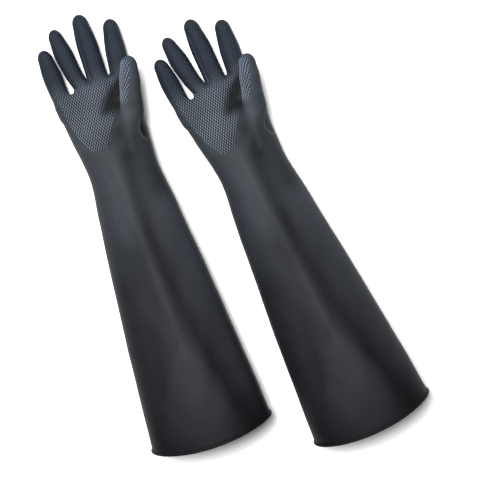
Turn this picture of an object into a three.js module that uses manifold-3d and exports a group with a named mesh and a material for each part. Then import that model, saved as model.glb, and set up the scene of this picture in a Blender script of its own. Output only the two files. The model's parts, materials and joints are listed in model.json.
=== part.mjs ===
// Two long rubber gauntlets lying palm up, side by side, fingers toward +Y.
// Millimetres, +Z up. Each glove is drawn in its own frame first: X across the palm with
// the thumb at +X, Y from the middle of the opening to the fingertips, Z up off the table.
import * as THREE from 'three';
import { LoftGeometry } from 'three/addons/geometries/LoftGeometry.js';
import { mergeVertices } from 'three/addons/utils/BufferGeometryUtils.js';
import Module from 'manifold-3d';

// Driving dimensions.
const WALL = 1.6;                 // rubber wall
const GAP = 0.3;                  // clearance left at every flex line
const BEAD_R = 2.4;               // rolled bead round the opening
const HEM_BOW = 8;                // how far the hem's two sides are drawn back from its middle
const BOW_FADE = 110;             // the bow is gone this far up the sleeve
const WRIST_Y = 387;              // narrowest place of the sleeve
const ELBOW_Y = 150;              // flex line of the sleeve over the elbow
const WRIST_FLEX = 30;            // degrees each flex line bends toward the palm
const ELBOW_FLEX = 25;
const KNUCKLE_FLEX = 35;
const FINGER_FLEX = 45;
const THUMB_ROOT_FLEX = 15;
const THUMB_TIP_FLEX = 35;
const SLEEVE_HINGE_DEPTH = 6;     // hinge line below the palm-side skin, sleeve and wrist
const FINGER_HINGE_DEPTH = 4;     // the same for fingers and thumb
const AROUND = 32;                // points round the sleeve and the hand
const AROUND_FINGER = 14;         // points round a finger
const BEAD_SIDES = 8;             // flat sides of the bead's round cord
const BEVEL_EXTRA = 3;            // degrees a bevel clears its bend by
const SMOOTHING = 0.05;           // edges shorter than this are joined up after cutting

// Sleeve: an oval that tapers from the opening to the wrist.
const OPENING_Y = 5.1;            // where the sleeve starts, behind its bead
const OPENING_WIDTH = 169;
const OPENING_TOP = 105;          // height of the upper side at the opening
const WRIST_WIDTH = 94.5;
const WRIST_TOP = 62;
const WRIST_SHIFT = 0.75;         // how far the middle of the wrist lies toward the thumb
const SLEEVE_BULGE = 2.4;         // how far the sides stand out from a straight taper
const BULGE_LEAN = 0.8;           // below 1 the bulge is fullest nearer the opening
const SLEEVE_UNDER = -0.6;        // underside, before the table presses it flat
const OPENING_LIFT = 2.2;         // how far the underside rises from that at the opening
const WRIST_LIFT = 2.6;           // the same at the wrist
const LIFT_SHARE = [0.3, 0.25];   // share of the sleeve over which each of them fades
const SLEEVE_STEPS = 7;
const SLEEVE_OVAL = 2.1;          // squareness of the oval

// Hand: y, left edge, right edge, underside, top, squareness of the oval, at the heel, across
// the palm and at the knuckles, and two that round it off between the fingers.
const HAND = [
  [410, -48.5, 49, 0.6, 59.5, 2.2],
  [450, -55, 51.5, -1.8, 47, 2.5],
  [492, -62, 54, -0.4, 31, 2.6],
  [501, -58, 50, 3, 27, 2.4],
  [505, -48, 42, 8, 20, 2.2],
];

// Fingers: middle of the root, middle of the tip, full width, height at the root and near
// the tip, height of the middle at the root and at the tip, how far back from the tip the
// finger starts to narrow, and how far along it the root and middle flex lines are.
const FINGERS = {
  little: { root: [-49, 476], tip: [-51.2, 569.5], w: 27.5, h: [26, 20.5],
    z: [14.5, 19], taper: 42, cuts: [30, 58] },
  ring: { root: [-14.2, 470], tip: [-30.9, 591.5], w: 25.5, h: [27, 21],
    z: [15, 15], taper: 38, cuts: [44, 76] },
  middle: { root: [6.5, 470], tip: [8.8, 600], w: 29.5, h: [28, 22],
    z: [15.5, 15.5], taper: 45, cuts: [43.5, 78] },
  index: { root: [33.5, 470], tip: [47.1, 581.5], w: 29, h: [27.5, 21.5],
    z: [15.5, 16.5], taper: 46, cuts: [42.5, 70] },
};
const TIP_DOME = 14;              // length of the round end of a finger or thumb
const TIP_WIDTH = 0.77;           // width where the round end starts, over the full width

// Thumb: x, y, z of the middle, width, height at stations from inside the palm outward.
const THUMB = [
  [21, 405, 31, 40, 40],
  [31, 430, 37.5, 39, 36],
  [38.5, 455, 44, 33, 29],
  [44.5, 477, 49.5, 28, 25],
  [51, 500, 54, 26.5, 23],
  [54.8, 513, 55.8, 22.5, 19],
];
const THUMB_TIP = [58.5, 526, 57];
const THUMB_CUTS = [[43.2, 473], [51, 500]];

// Where each glove lies: middle of its opening and its turn about Z.
const PLACES = {
  glove_a: { at: [-105.344, -266.718], turn: -3.9 },
  glove_b: { at: [105.196, -330.338], turn: 3.36 },
};

const HAND_COLOUR = 0x3c4148;
const SLEEVE_COLOUR = 0x2b2e32;
const BEAD_COLOUR = 0x24272a;

const wasm = await Module();
wasm.setup();

const v3 = (x, y, z) => new THREE.Vector3(x, y, z);
const radians = THREE.MathUtils.degToRad;
const mix = THREE.MathUtils.lerp;
const UP = v3(0, 0, 1);

// One station of the sleeve, in the same columns as HAND: share 0 at the opening, 1 at the wrist.
function sleeveStation(share) {
  const half = mix(OPENING_WIDTH, WRIST_WIDTH, share) / 2
    + SLEEVE_BULGE * Math.sin(Math.PI * share ** BULGE_LEAN);
  const middle = WRIST_SHIFT * share;
  const nearOpening = Math.max(0, 1 - share / LIFT_SHARE[0]);
  const nearWrist = Math.max(0, 1 - (1 - share) / LIFT_SHARE[1]);
  const under = SLEEVE_UNDER + OPENING_LIFT * nearOpening ** 2 + WRIST_LIFT * nearWrist ** 2;
  const top = mix(OPENING_TOP, WRIST_TOP, share);
  return [mix(OPENING_Y, WRIST_Y, share), middle - half, middle + half, under, top, SLEEVE_OVAL];
}

const SLEEVE = Array.from({ length: SLEEVE_STEPS + 1 }, (_, i) => sleeveStation(i / SLEEVE_STEPS));
const BODY = [...SLEEVE, ...HAND];

function solid(sections, capped = true) {
  const geometry = new LoftGeometry(sections, {
    closed: true,
    capStart: capped,
    capEnd: capped,
  });
  geometry.deleteAttribute('normal');
  geometry.deleteAttribute('uv');
  const merged = mergeVertices(geometry, 1e-5);
  const mesh = new wasm.Mesh({
    numProp: 3,
    vertProperties: new Float32Array(merged.attributes.position.array),
    triVerts: new Uint32Array(merged.index.array),
  });
  return new wasm.Manifold(mesh);
}

// One closed oval round centre, in the plane square to the direction. The underside is
// pressed flat where it would pass below the table.
function oval(centre, direction, width, height, power, count, table) {
  const across = new THREE.Vector3().crossVectors(direction, UP).normalize();
  const over = new THREE.Vector3().crossVectors(across, direction).normalize();
  const points = [];
  for (let i = 0; i < count; i++) {
    const angle = -2 * Math.PI * (i + 0.5) / count;
    const c = Math.cos(angle);
    const s = Math.sin(angle);
    const x = Math.sign(c) * Math.pow(Math.abs(c), 2 / power) * width / 2;
    const z = Math.sign(s) * Math.pow(Math.abs(s), 2 / power) * height / 2;
    const point = centre.clone().addScaledVector(across, x).addScaledVector(over, z);
    point.z = Math.max(point.z, table);
    points.push(point);
  }
  return points;
}

// The hem is not cut straight across: its two sides are drawn back, most at the very edge.
function bowed(points, left, right) {
  for (const point of points) {
    const across = (2 * point.x - left - right) / (right - left);
    const fade = THREE.MathUtils.smoothstep(BOW_FADE - point.y, 0, BOW_FADE);
    point.y += HEM_BOW * Math.min(1, across * across) * fade;
  }
  return points;
}

// The sleeve and hand, drawn in by inset on every side. An inset one runs out past the opening.
function bodySolid(inset) {
  const rows = BODY.map((row) => [...row]);
  if (inset > 0) {
    rows[0][0] -= 20;
    rows[rows.length - 1][0] -= inset;
    rows[rows.length - 2][0] -= inset;
  }
  const sections = rows.map(([y, left, right, under, top, power]) => bowed(oval(
    v3((left + right) / 2, y, (under + top) / 2),
    v3(0, 1, 0),
    right - left - 2 * inset,
    top - under - 2 * inset,
    power,
    AROUND,
    inset,
  ), left, right));
  return solid(sections);
}

// A tube through a list of stations, closed by a round end.
function digitSolid(stations, tip, inset) {
  const last = stations[stations.length - 1];
  const ring = (at, from, scale) => oval(
    at,
    from.direction,
    (from.width - 2 * inset) * scale,
    (from.height - 2 * inset) * scale,
    2.15,
    AROUND_FINGER,
    inset,
  );
  const sections = stations.map((station) => ring(station.at, station, 1));
  const reach = 1 - inset / TIP_DOME;
  for (const part of [0.45, 0.8, 0.97]) {
    const centre = last.at.clone().lerp(tip, part * reach);
    sections.push(ring(centre, last, Math.sqrt(1 - part * part)));
  }
  return solid(sections);
}

function fingerPoint(finger, distance) {
  const root = v3(finger.root[0], finger.root[1], finger.z[0]);
  const tip = v3(finger.tip[0], finger.tip[1], finger.z[1]);
  return root.lerp(tip, distance / fingerLength(finger));
}

function fingerLength(finger) {
  return Math.hypot(finger.tip[0] - finger.root[0], finger.tip[1] - finger.root[1]);
}

function fingerDirection(finger) {
  return v3(finger.tip[0] - finger.root[0], finger.tip[1] - finger.root[1], 0).normalize();
}

// How much of its full width a finger has at a distance from its root.
function narrowing(finger, distance) {
  const toTip = fingerLength(finger) - distance;
  const start = Math.max(0, 1 - toTip / finger.taper);
  const end = 1 - TIP_DOME / finger.taper;
  return 1 - (1 - TIP_WIDTH) * Math.pow(start / end, 1.5);
}

function fingerHeight(finger, distance) {
  return mix(finger.h[0], finger.h[1], distance / (fingerLength(finger) - TIP_DOME));
}

// Inside the palm a finger starts a little thinner, so that it stays within the hand.
function fingerSolid(finger, inset) {
  const length = fingerLength(finger);
  const distances = [0, finger.cuts[0] - 8, length - finger.taper, length - 27, length - TIP_DOME];
  const stations = distances.map((distance, i) => ({
    at: fingerPoint(finger, distance),
    direction: fingerDirection(finger),
    width: finger.w * narrowing(finger, distance) * (i === 0 ? 0.8 : 1),
    height: fingerHeight(finger, distance) * (i === 0 ? 0.9 : 1),
  }));
  return digitSolid(stations, fingerPoint(finger, length), inset);
}

function thumbSolid(inset) {
  const tip = v3(...THUMB_TIP);
  const points = THUMB.map(([x, y, z]) => v3(x, y, z));
  const stations = THUMB.map(([, , , width, height], i) => ({
    at: points[i],
    direction: (points[i + 1] ?? tip).clone().sub(points[Math.max(i - 1, 0)]).setZ(0).normalize(),
    width,
    height,
  }));
  return digitSolid(stations, tip, inset);
}

// A flex line: the point it passes, the way out toward the moving piece, the side the
// moving piece bends to, the hinge point just under that side's skin, and the angle.
function flexLine(point, direction, side, depthToHinge, degrees) {
  const out = direction.clone().normalize();
  return {
    point,
    out,
    side: side.clone().normalize(),
    hinge: point.clone().addScaledVector(side, depthToHinge),
    axis: new THREE.Vector3().crossVectors(out, side).normalize(),
    degrees,
  };
}

function keepBeyond(body, point, normal) {
  const unit = normal.clone().normalize();
  return body.trimByPlane([unit.x, unit.y, unit.z], unit.dot(point));
}

// The fixed side of a flex line keeps everything up to it.
function fixedSide(body, line) {
  return keepBeyond(body, line.point, line.out.clone().negate());
}

// The moving side starts one gap further on, and is bevelled by the bend angle on the side
// it bends to, so the two rigid pieces open instead of meeting.
function movingSide(body, line) {
  const start = line.point.clone().addScaledVector(line.out, GAP);
  const squared = keepBeyond(body, start, line.out);
  const bend = radians(line.degrees + BEVEL_EXTRA);
  const bevel = line.out.clone().multiplyScalar(Math.cos(bend))
    .addScaledVector(line.side, -Math.sin(bend));
  const hinge = line.hinge.clone().addScaledVector(line.out, GAP);
  return keepBeyond(squared, hinge, bevel);
}

function fingerLines(finger) {
  return finger.cuts.map((distance, i) => flexLine(
    fingerPoint(finger, distance),
    fingerDirection(finger),
    UP,
    fingerHeight(finger, distance) / 2 - FINGER_HINGE_DEPTH,
    i === 0 ? KNUCKLE_FLEX : FINGER_FLEX,
  ));
}

function thumbLines() {
  const tip = v3(...THUMB_TIP);
  const direction = tip.clone().sub(v3(...THUMB[2].slice(0, 3)));
  return THUMB_CUTS.map(([x, y], i) => {
    const station = THUMB[3 + i];
    const flat = direction.clone().setZ(0).normalize();
    const side = new THREE.Vector3().crossVectors(UP, flat);
    return flexLine(
      v3(x, y, station[2] - 1),
      direction,
      side,
      station[3] / 2 - FINGER_HINGE_DEPTH,
      i === 0 ? THUMB_ROOT_FLEX : THUMB_TIP_FLEX,
    );
  });
}

function sleeveRow(y) {
  const i = BODY.findIndex((row) => row[0] >= y);
  const [a, b] = [BODY[i - 1], BODY[i]];
  return a.map((value, k) => mix(value, b[k], (y - a[0]) / (b[0] - a[0])));
}

function sleeveLine(y, out, degrees) {
  const [, left, right, under, top] = sleeveRow(y);
  const middle = v3((left + right) / 2, y, (under + top) / 2);
  return flexLine(middle, out, UP, (top - under) / 2 - SLEEVE_HINGE_DEPTH, degrees);
}

// The rolled bead: a round cord of rubber that closes the edge of the opening.
function beadSolid() {
  const [, left, right, under, top, power] = BODY[0];
  const rings = [];
  for (let i = 0; i <= BEAD_SIDES; i++) {
    const angle = 2 * Math.PI * i / BEAD_SIDES;
    const grow = 2 * BEAD_R * Math.sin(angle) - WALL;
    const centre = v3((left + right) / 2, BEAD_R * (1 - Math.cos(angle)), (under + top) / 2);
    const ring = oval(
      centre, v3(0, 1, 0), right - left + grow, top - under + grow, power, AROUND, 0,
    );
    rings.push(bowed(ring, left, right));
  }
  return solid(rings, false);
}

const material = (color, roughness) => new THREE.MeshStandardMaterial({
  color, roughness, metalness: 0,
});
const MATERIALS = {
  hand: material(HAND_COLOUR, 0.6),
  sleeve: material(SLEEVE_COLOUR, 0.55),
  bead: material(BEAD_COLOUR, 0.5),
};

function addMesh(group, name, body, look) {
  const mesh = body.simplify(SMOOTHING).getMesh();
  const geometry = new THREE.BufferGeometry();
  geometry.setAttribute('position', new THREE.BufferAttribute(mesh.vertProperties, 3));
  geometry.setIndex(new THREE.BufferAttribute(mesh.triVerts, 1));
  geometry.computeVertexNormals();
  const node = new THREE.Mesh(geometry, look);
  node.name = name;
  group.add(node);
}

// The skin of one glove, cut along its flex lines.
function makeGlove(name) {
  const glove = new THREE.Group();
  glove.name = name;
  const hinges = {};
  const wrist = sleeveLine(WRIST_Y, v3(0, 1, 0), WRIST_FLEX);
  const elbow = sleeveLine(ELBOW_Y, v3(0, -1, 0), ELBOW_FLEX);
  const bodyOut = bodySolid(0);
  const bodyIn = bodySolid(WALL);
  const sleeve = bodyOut.subtract(bodyIn);

  const thumb = thumbLines();
  const thumbOut = thumbSolid(0);
  const thumbIn = thumbSolid(WALL);
  let handOut = bodyOut.add(fixedSide(thumbOut, thumb[0]));
  let handIn = bodyIn.add(fixedSide(thumbIn, { ...thumb[0], point: stepOut(thumb[0]) }));
  for (const [key, finger] of Object.entries(FINGERS)) {
    const lines = fingerLines(finger);
    const outer = fingerSolid(finger, 0);
    const inner = fingerSolid(finger, WALL);
    handOut = handOut.add(fixedSide(outer, lines[0]));
    handIn = handIn.add(fixedSide(inner, { ...lines[0], point: stepOut(lines[0]) }));
    addDigit(glove, `${name}_${key}`, outer.subtract(inner), lines);
    hinges[`${key}_knuckle`] = lines[0];
    hinges[`${key}_middle`] = lines[1];
  }
  addDigit(glove, `${name}_thumb`, thumbOut.subtract(thumbIn), thumb);
  hinges.thumb_root = thumb[0];
  hinges.thumb_middle = thumb[1];

  addMesh(glove, `${name}_hand`, movingSide(handOut.subtract(handIn), wrist), MATERIALS.hand);
  const forearm = fixedSide(fixedSide(sleeve, wrist), elbow);
  addMesh(glove, `${name}_forearm_sleeve`, forearm, MATERIALS.sleeve);
  addMesh(glove, `${name}_upper_sleeve`, movingSide(sleeve, elbow), MATERIALS.sleeve);
  addMesh(glove, `${name}_cuff_bead`, beadSolid(), MATERIALS.bead);
  hinges.wrist = wrist;
  hinges.elbow = elbow;

  glove.position.set(PLACES[name].at[0], PLACES[name].at[1], 0);
  glove.rotation.z = radians(PLACES[name].turn);
  glove.userData.hinges = hinges;
  return glove;
}

function stepOut(line) {
  return line.point.clone().addScaledVector(line.out, 2);
}

function addDigit(group, name, skin, lines) {
  const root = fixedSide(movingSide(skin, lines[0]), lines[1]);
  addMesh(group, `${name}_root`, root, MATERIALS.hand);
  addMesh(group, `${name}_end`, movingSide(skin, lines[1]), MATERIALS.hand);
}

const gloves = new THREE.Group();
gloves.name = 'rubber_gauntlets';
for (const name of Object.keys(PLACES)) gloves.add(makeGlove(name));

export default gloves;
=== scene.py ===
import json
import math

import bpy
import numpy as np
from mathutils import Matrix, Vector


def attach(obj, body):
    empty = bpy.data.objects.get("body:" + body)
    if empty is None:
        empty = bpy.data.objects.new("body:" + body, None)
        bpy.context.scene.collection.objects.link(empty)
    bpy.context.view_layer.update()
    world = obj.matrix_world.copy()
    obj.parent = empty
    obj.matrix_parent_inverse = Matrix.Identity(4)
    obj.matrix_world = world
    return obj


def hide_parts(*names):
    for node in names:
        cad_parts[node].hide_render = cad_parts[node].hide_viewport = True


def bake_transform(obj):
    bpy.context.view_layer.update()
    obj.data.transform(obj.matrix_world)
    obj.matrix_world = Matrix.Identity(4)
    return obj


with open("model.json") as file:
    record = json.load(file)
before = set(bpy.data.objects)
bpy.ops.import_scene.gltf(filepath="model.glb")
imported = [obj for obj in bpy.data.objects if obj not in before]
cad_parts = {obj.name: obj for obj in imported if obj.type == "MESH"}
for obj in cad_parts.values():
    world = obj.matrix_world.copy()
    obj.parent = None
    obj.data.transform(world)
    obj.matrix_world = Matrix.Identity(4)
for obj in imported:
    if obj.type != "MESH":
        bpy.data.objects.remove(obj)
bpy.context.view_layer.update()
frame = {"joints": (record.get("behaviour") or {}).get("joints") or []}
MM = 0.001

# -------- dimensions, in millimetres
# One glove in its own frame: X across the palm with the thumb at +X, Y from the opening to
# the fingertips, Z up from the table. The gloves lie palm up.
WALL = 1.6
BEAD_R = 2.4
WRIST_Y, ELBOW_Y = 387.0, 150.0

# Sleeve: an oval that tapers from the opening to the wrist.
OPENING_Y = 5.1
OPENING_WIDTH, OPENING_TOP = 169.0, 105.0
WRIST_WIDTH, WRIST_TOP, WRIST_SHIFT = 94.5, 62.0, 0.75
SLEEVE_BULGE, BULGE_LEAN = 2.4, 0.8
OPENING_LIFT, OPENING_LIFT_SHARE = 1.6, 0.3
WRIST_LIFT, WRIST_LIFT_SHARE = 1.8, 0.25
SLEEVE_STEPS, SLEEVE_OVAL = 7, 2.1

# Rows of the hand: y, left edge, right edge, underside, top, squareness.
HAND = (
    (410.0, -48.5, 49.0, 0.6, 59.0, 2.2),
    (450.0, -54.4, 51.0, -1.4, 45.5, 2.45),
    (492.0, -59.8, 54.0, 0.6, 30.5, 2.5),
    (515.0, -61.2, 55.0, 2.5, 27.0, 2.4),
)


def sleeve_station(share):
    """One row of the sleeve, in the hand's columns: share 0 at the opening, 1 at the wrist."""
    half = (OPENING_WIDTH + (WRIST_WIDTH - OPENING_WIDTH) * share) / 2
    half += SLEEVE_BULGE * math.sin(math.pi * max(share, 0) ** BULGE_LEAN)
    middle = WRIST_SHIFT * share
    near_opening = min(max(1 - share / OPENING_LIFT_SHARE, 0), 1)
    near_wrist = max(1 - (1 - share) / WRIST_LIFT_SHARE, 0)
    under = OPENING_LIFT * near_opening ** 2 + WRIST_LIFT * near_wrist ** 2
    top = OPENING_TOP + (WRIST_TOP - OPENING_TOP) * share
    y = OPENING_Y + (WRIST_Y - OPENING_Y) * share
    return y, middle - half, middle + half, under, top, SLEEVE_OVAL


# The first row lies in front of the opening, so that the taper runs straight out.
SLEEVE_ROWS = (-0.5, *range(SLEEVE_STEPS + 1))
BODY = np.array([*(sleeve_station(row / SLEEVE_STEPS) for row in SLEEVE_ROWS), *HAND])


def place_of(glove):
    """x and y of the middle of a glove's opening and its turn, from its elbow hinge."""
    joint = next(j for j in frame["joints"] if j["name"] == f"{glove}_elbow_flex")
    c, s = -joint["axis"][0], -joint["axis"][1]
    x = WRIST_SHIFT * (ELBOW_Y - OPENING_Y) / (WRIST_Y - OPENING_Y)
    px, py = (v / MM for v in joint["pos_m"][:2])
    return px - x * c + ELBOW_Y * s, py - x * s - ELBOW_Y * c, math.degrees(math.atan2(s, c))


PLACES = {glove: place_of(glove) for glove in ("glove_a", "glove_b")}

# Root and tip (x, y), width, height of the section and of its middle at root and tip, length
# over which the tip narrows, flex lines as distances from the root.
FINGERS = {
    "little": ((-48.8, 476.0), (-51.9, 569.5), 26.4, (26.0, 20.5), (14.5, 21.0), 42.0, (30.0, 58.0)),
    "ring": ((-14.2, 470.0), (-30.9, 591.5), 25.5, (27.0, 21.0), (15.0, 15.0), 38.0, (44.0, 76.0)),
    "middle": ((5.7, 470.0), (8.2, 600.0), 28.2, (28.0, 22.0), (15.5, 15.5), 45.0, (43.5, 78.0)),
    "index": ((33.2, 470.0), (46.5, 581.5), 27.9, (27.5, 21.5), (15.5, 16.5), 46.0, (42.5, 70.0)),
}
TIP_DOME, TIP_WIDTH, TIP_POWER = 14.0, 0.77, 1.5
DIGIT_OVAL = 2.15
# Sideways bend along the finger, sideways step at its root, narrowing at its root.
FINGER_BENDS = {"ring": (-0.9, 7.0, 0.27), "little": (0.0, 1.2, 0.12)}
# The bend leans to the tip. Step and narrowing end at these shares of the length.
BEND_LEAN, STEP_END, WAIST_END = 1.6, 0.45, 0.7
FINGER_START, START_SOFT = 4.0, 6.0
# x, y, z, width, height along the thumb, and at its very tip.
THUMB = np.array([
    (17.0, 408.0, 28.0, 30.0, 30.0),
    (22.0, 424.0, 34.0, 36.0, 36.0),
    (29.5, 440.0, 39.5, 37.0, 35.0),
    (38.5, 457.0, 44.5, 32.5, 29.0),
    (44.5, 477.0, 49.5, 28.0, 25.0),
    (51.0, 500.0, 54.0, 26.5, 23.0),
    (54.8, 513.0, 55.8, 22.5, 19.0),
])
THUMB_TIP = (58.5, 526.0, 57.0, 22.5, 19.0)
THUMB_SAMPLES, THUMB_BASE = 160, 12.0
# Where the thumb's two flex lines cross its middle line, as (x, y).
THUMB_CUTS = ((43.2, 473.0), (51.0, 500.0))
HEM_BOW, BOW_FADE = 8.0, 110.0
JOIN_Y = 398.0  # where the drawn sleeve ends and the modelled hand starts


def curve(table, column, y):
    """Smooth interpolation of one column of a station table."""
    knots, values = table[:, 0], table[:, column]
    slopes = np.gradient(values, knots)
    i = np.clip(np.searchsorted(knots, y) - 1, 0, len(knots) - 2)
    h = knots[i + 1] - knots[i]
    t = np.clip((y - knots[i]) / h, 0.0, 1.0)
    t2, t3 = t * t, t * t * t
    return (
        (2 * t3 - 3 * t2 + 1) * values[i]
        + (t3 - 2 * t2 + t) * h * slopes[i]
        + (3 * t2 - 2 * t3) * values[i + 1]
        + (t3 - t2) * h * slopes[i + 1]
    )


def smooth_min(a, b, k):
    h = np.clip(0.5 + 0.5 * (b - a) / k, 0.0, 1.0)
    return b + (a - b) * h - k * h * (1 - h)


def smooth_max(a, b, k):
    return -smooth_min(-a, -b, k)


def clamp(value):
    return np.clip(value, 0, 1)


def rise(value, start, span):
    """0 up to start, then evenly up to 1 over the span."""
    return clamp((value - start) / span)


def fall(value, end, span):
    """1 until a span before the end, then evenly down to 0."""
    return clamp((end - value) / span)


def ease(t):
    return t * t * (3 - 2 * t)


def oval_distance(u, w, half_u, half_w, power, along=None):
    """Distance to a squared oval tube, rounded off by `along` (0 in the tube, 1 at the tip)."""
    pu, pw = np.abs(u) / half_u, np.abs(w) / half_w
    rho = np.maximum((pu ** power + pw ** power) ** (1 / power), 1e-3)
    gu = (pu / rho) ** (power - 1) / half_u
    gw = (pw / rho) ** (power - 1) / half_w
    slope2 = gu * gu + gw * gw
    if along is None:
        return (rho - 1) / np.sqrt(slope2)
    value, rate = along
    r = np.sqrt(rho * rho + value * value)
    slope = np.sqrt(rho * rho * slope2 + (value * rate) ** 2) / r
    return (r - 1) / np.maximum(slope, 1e-4)


def cos_sin(degrees):
    return math.cos(math.radians(degrees)), math.sin(math.radians(degrees))


def bump(x, y, at, size, turn=0.0):
    """A soft round or oval patch: 1 at its centre, fading over its half sizes."""
    c, s = cos_sin(turn)
    dx, dy = x - at[0], y - at[1]
    u, v = (dx * c + dy * s) / size[0], (-dx * s + dy * c) / size[1]
    return np.exp(-(u * u + v * v))


def body_section(y):
    """Left and right edge, underside, top and squareness of sleeve and palm at y."""
    left, right = curve(BODY, 1, y), curve(BODY, 2, y)
    under, top = curve(BODY, 3, y), curve(BODY, 4, y)
    return left, right, under, top, curve(BODY, 5, y)


def line_x(y, points):
    """x at y on the line through two (y, x) points, or the parabola through three."""
    total = 0.0
    for i, (at, x) in enumerate(points):
        term = x
        for j, (other, _) in enumerate(points):
            if j != i:
                term = term * (y - other) / (at - other)
        total = total + term
    return total


# Lines of the soft folds on the upper side of the sleeve, as (y, x).
VALLEY = ((0, 68), (210, 26), (420, 20))
RIDGE = ((100, 9), (425, -9))
LEFT_FOLD = ((10, -67), (200, -22))
# Depth, half width, line, and where along y the fold starts, is full, starts to fade and ends.
FOLDS = (
    (2.4, 15.0, VALLEY, (12, 70, 395, 425)),
    (-1.0, 10.0, RIDGE, (110, 170, 380, 410)),
    (1.3, 10.0, LEFT_FOLD, (8, 40, 110, 190)),
)
SIDE_BLEND = 4.0


def fold_depth(x, y):
    """How far the upper side is pressed in by the folds, in mm."""
    total = np.zeros_like(x)
    for depth, width, line, (start, full, fading, gone) in FOLDS:
        across = (x - line_x(y, line)) / width
        along = rise(y, start, full - start) * fall(y, gone, gone - fading)
        total += depth * np.exp(-across * across) * along * along * (3 - 2 * along)
    return total


def upper_side(z, middle):
    """1 on the upper side, 0 on the underside, with a soft change between."""
    return 1 / (1 + np.exp(-(z - middle) / SIDE_BLEND))


# The crease beside the base of the thumb bows away from it: its middle, and how sharply.
CREASE_Y, CREASE_X, CREASE_BOW = 427.0, 41.0, 0.026
CREASE_FOOT, CREASE_TOP = (412.0, 3.0), (446.0, 3.0)
# The last is the painted shade in the hollow behind the crease.
CREASE_EDGE, CREASE_DEPTH, CREASE_SHADE = 1.4, 1.3, 0.65


def crease_x(y):
    return CREASE_X + CREASE_BOW * (y - CREASE_Y) ** 2


def behind_crease(x, y):
    """1 in the hollow behind the crease, at the thumb side of the wrist."""
    inside = rise(x, crease_x(y), CREASE_EDGE)
    return inside * rise(y, *CREASE_FOOT) * fall(y, *CREASE_TOP)


# Hollows and pads of the palm: depth, centre (x, y), half sizes, turn in degrees.
PALM_FORMS = (
    (6.5, (26, 482), (15, 22), 12),  # beside the thumb
    (2.5, (2, 452), (16, 26), -10),  # middle of the palm
    (-2.4, (-38, 446), (15, 34), 0),  # below the little finger
    (-1.2, (-30, 494), (10, 9), 0),  # below the ring finger
    (-1.4, (6, 496), (12, 9), 0),  # below the middle finger
)
PALM_RISE = (402.0, 30.0)


def body_distance(x, y, z):
    left, right, under, top, power = body_section(y)
    middle = (under + top) / 2
    d = oval_distance(x - (left + right) / 2, z - middle, (right - left) / 2, (top - under) / 2, power)
    upper = upper_side(z, middle)
    d = d + upper * (fold_depth(x, y) + CREASE_DEPTH * behind_crease(x, y))
    hand = ease(rise(y, *PALM_RISE))
    forms = 0.0
    for depth, at, size, turn in PALM_FORMS:
        forms = forms + depth * bump(x, y, at, size, turn)
    return d + upper * hand * forms


# How far the palm reaches, as (x, y): at its two sides and at the webs between.
WEBS = ((-66, 492), (-32, 502.5), (-7, 510.5), (23, 509.5), (58, 492))


# How softly the palm ends, the fingers join it, and the fingers meet each other.
WEB_SOFT, ROOT_SOFT, GAP_SOFT = 9.0, 6.5, 1.0
# The thumb runs softly into the palm at its base, and less and less farther up.
JOIN_SOFT, JOIN_LOSS, JOIN_RISE = 13.0, 11.8, (438.0, 38.0)
TABLE_GAP, TABLE_SOFT = 0.02, 1.5


def web_end(x):
    return np.interp(x, *zip(*WEBS))


def finger_frame(key):
    """A finger's root, direction and length, then the rest as in FINGERS."""
    root, tip, width, heights, middles, taper, cuts = FINGERS[key]
    root, tip = np.array(root), np.array(tip)
    length = float(np.hypot(*(tip - root)))
    out = (tip - root) / length
    return root, out, length, width, heights, middles, taper, cuts


def finger_cuts(key):
    return FINGERS[key][-1]


def finger_local(key, x, y, z):
    """Distance along the finger, across it, above its middle line, half width, half height."""
    root, out, length, width, heights, middles, taper, _ = finger_frame(key)
    dx, dy = x - root[0], y - root[1]
    s = dx * out[0] + dy * out[1]
    share = clamp(s / length)
    bend, step, waist = FINGER_BENDS.get(key, (0, 0, 0))
    u = dx * out[1] - dy * out[0] - bend * np.sin(math.pi * share ** BEND_LEAN)
    u = u - step * clamp(1 - share / STEP_END)
    w = z - (middles[0] + (middles[1] - middles[0]) * share)
    start = np.clip(1 - (length - s) / taper, 0, 1 - TIP_DOME / taper)
    narrow = 1 - (1 - TIP_WIDTH) * (start / (1 - TIP_DOME / taper)) ** TIP_POWER
    half_w = (heights[0] + (heights[1] - heights[0]) * clamp(s / (length - TIP_DOME))) / 2
    narrow = narrow * (1 - waist * clamp(1 - share / WAIST_END))
    return s, u, w, width / 2 * narrow, half_w


def finger_distance(key, x, y, z):
    length = finger_frame(key)[2]
    s, u, w, half_u, half_w = finger_local(key, x, y, z)
    tip = np.clip((s - (length - TIP_DOME)) / TIP_DOME, 0, 3)
    d = oval_distance(u, w, half_u, half_w, DIGIT_OVAL, (tip, 1 / TIP_DOME))
    return smooth_max(d, -FINGER_START - s, START_SOFT)


def thumb_table():
    """The thumb's middle line: distance along it, its columns, its heading."""
    rows = np.vstack([THUMB, THUMB_TIP])
    steps = np.hypot(np.diff(rows[:, 0]), np.diff(rows[:, 1]))
    along = np.concatenate([[0], np.cumsum(steps)])
    table = np.column_stack([along, rows])
    s = np.linspace(0, along[-1], THUMB_SAMPLES)
    columns = [curve(table, c, s) for c in range(1, 6)]
    dx, dy = np.gradient(columns[0], s), np.gradient(columns[1], s)
    size = np.hypot(dx, dy)
    return s, columns, dx / size, dy / size


THUMB_LINE = thumb_table()


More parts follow.
